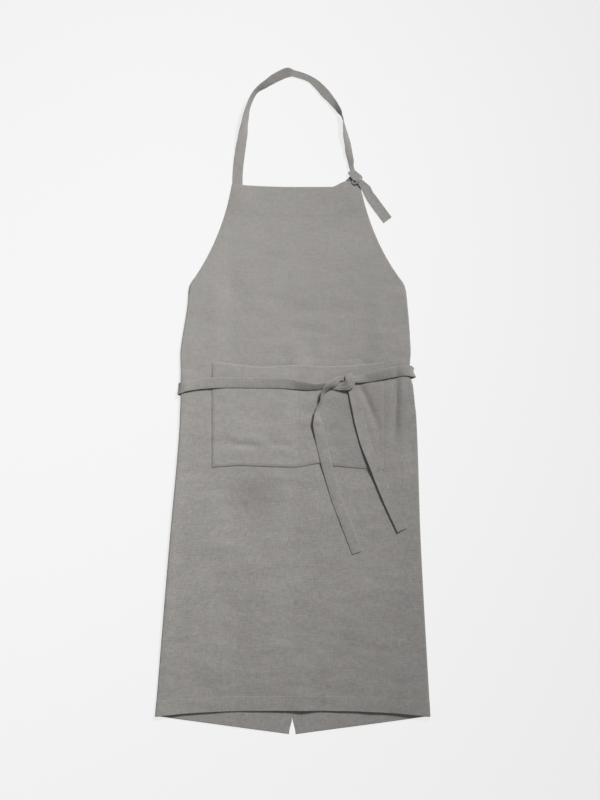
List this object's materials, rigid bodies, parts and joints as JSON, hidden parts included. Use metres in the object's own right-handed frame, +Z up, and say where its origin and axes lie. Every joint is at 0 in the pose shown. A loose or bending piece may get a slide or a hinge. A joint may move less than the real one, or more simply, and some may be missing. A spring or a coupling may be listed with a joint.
{
  "type": "linen apron",
  "caption": "Full-length linen wrap apron laid flat, with bib, patch pocket, knotted neck strap and waist ties tied in front, open between front and back panels.",
  "frame": {"origin": "on the floor under the middle of the apron's outline", "axes": "+X to the right seen from the front, +Y up along the apron to the neck, +Z up off the floor out of the front"},
  "size_m": [0.5232, 1.2675, 0.031],
  "materials": {
    "linen": "washed matte linen",
    "linen_tape": "folded matte linen tape"
  },
  "bodies": {
    "root": {"apron_body": "linen", "pocket": "linen", "neck_strap": "linen_tape", "neck_loop": "linen_tape", "waist_tie_left": "linen_tape", "waist_tie_right": "linen_tape"}
  },
  "joints": []
}
